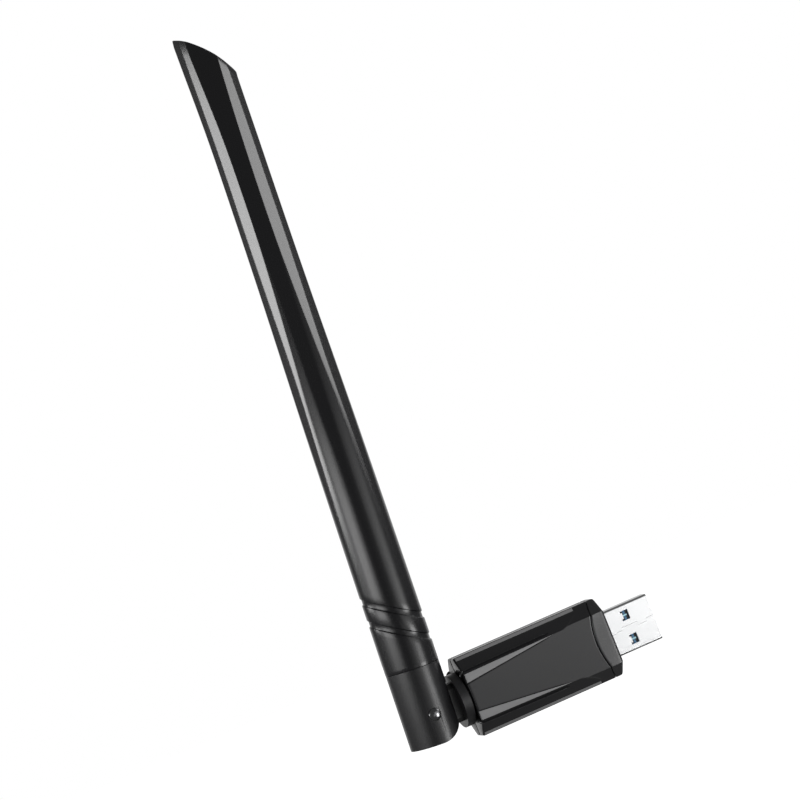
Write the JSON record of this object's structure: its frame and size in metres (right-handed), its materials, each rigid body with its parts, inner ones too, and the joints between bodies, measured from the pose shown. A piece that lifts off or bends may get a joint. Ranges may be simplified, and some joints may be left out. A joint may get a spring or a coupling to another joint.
{
  "type": "usb wifi adapter",
  "caption": "USB wireless adapter: faceted housing with a standard plug, a swivel knuckle and a long folding blade antenna.",
  "frame": {"origin": "on the plug's axis, where the plug leaves the end cap", "axes": "+X points out of the plug, +Z runs across the housing towards the antenna's tip, -Y is the front"},
  "size_m": [0.0705, 0.0142, 0.188],
  "materials": {
    "housing_black": "moulded, semi-gloss",
    "cap_black": "moulded, semi-gloss",
    "plug_steel": "nickel-plated sheet, satin",
    "plug_blue": "moulded",
    "contact_gold": "gold-plated",
    "board_green": "solder mask over glass laminate",
    "can_steel": "tinned sheet",
    "chip_black": "moulded epoxy",
    "pad_grey": "soft silicone",
    "capacitor_tan": "sintered",
    "coax_black": "extruded jacket",
    "knuckle_black": "moulded, satin",
    "washer_black": "matt",
    "collar_black": "moulded, satin",
    "pin_black": "black oxide, polished head",
    "tube_black": "moulded, semi-gloss",
    "arm_copper": "etched copper",
    "foam_grey": "closed-cell foam"
  },
  "bodies": {
    "housing": {"front_cover": "housing_black", "back_cover": "housing_black", "end_cap": "cap_black", "usb_shell": "plug_steel", "usb_insulator": "plug_blue", "usb_rear_block": "chip_black", "usb_contacts": "contact_gold", "usb3_contacts": "contact_gold", "circuit_board": "board_green", "shield_can": "can_steel", "radio_chip": "chip_black", "thermal_pad": "pad_grey", "crystal": "can_steel", "inductor": "chip_black", "regulator": "chip_black", "capacitors": "capacitor_tan", "coax_terminal": "contact_gold", "coax_lead": "coax_black"},
    "swivel": {"knuckle": "knuckle_black", "swivel_clip": "can_steel", "swivel_washer": "washer_black", "coax_in_knuckle": "coax_black"},
    "antenna": {"collar": "collar_black", "hinge_pins": "pin_black", "hinge_washers": "can_steel", "antenna_tube": "tube_black", "coax_feed": "coax_black", "antenna_board": "board_green", "dipole_arms": "arm_copper", "foam_sleeves": "foam_grey"}
  },
  "joints": [
    {"name": "knuckle_swivel", "type": "hinge", "parent": "housing", "child": "swivel", "pos_m": [-0.0386, 0, 0], "axis": [1, 0, 0], "range_deg": [-170, 170]},
    {"name": "antenna_tilt", "type": "hinge", "parent": "swivel", "child": "antenna", "pos_m": [-0.05, 0, 0], "axis": [0, -1, 0], "range_deg": [0, 93.4]}
  ]
}
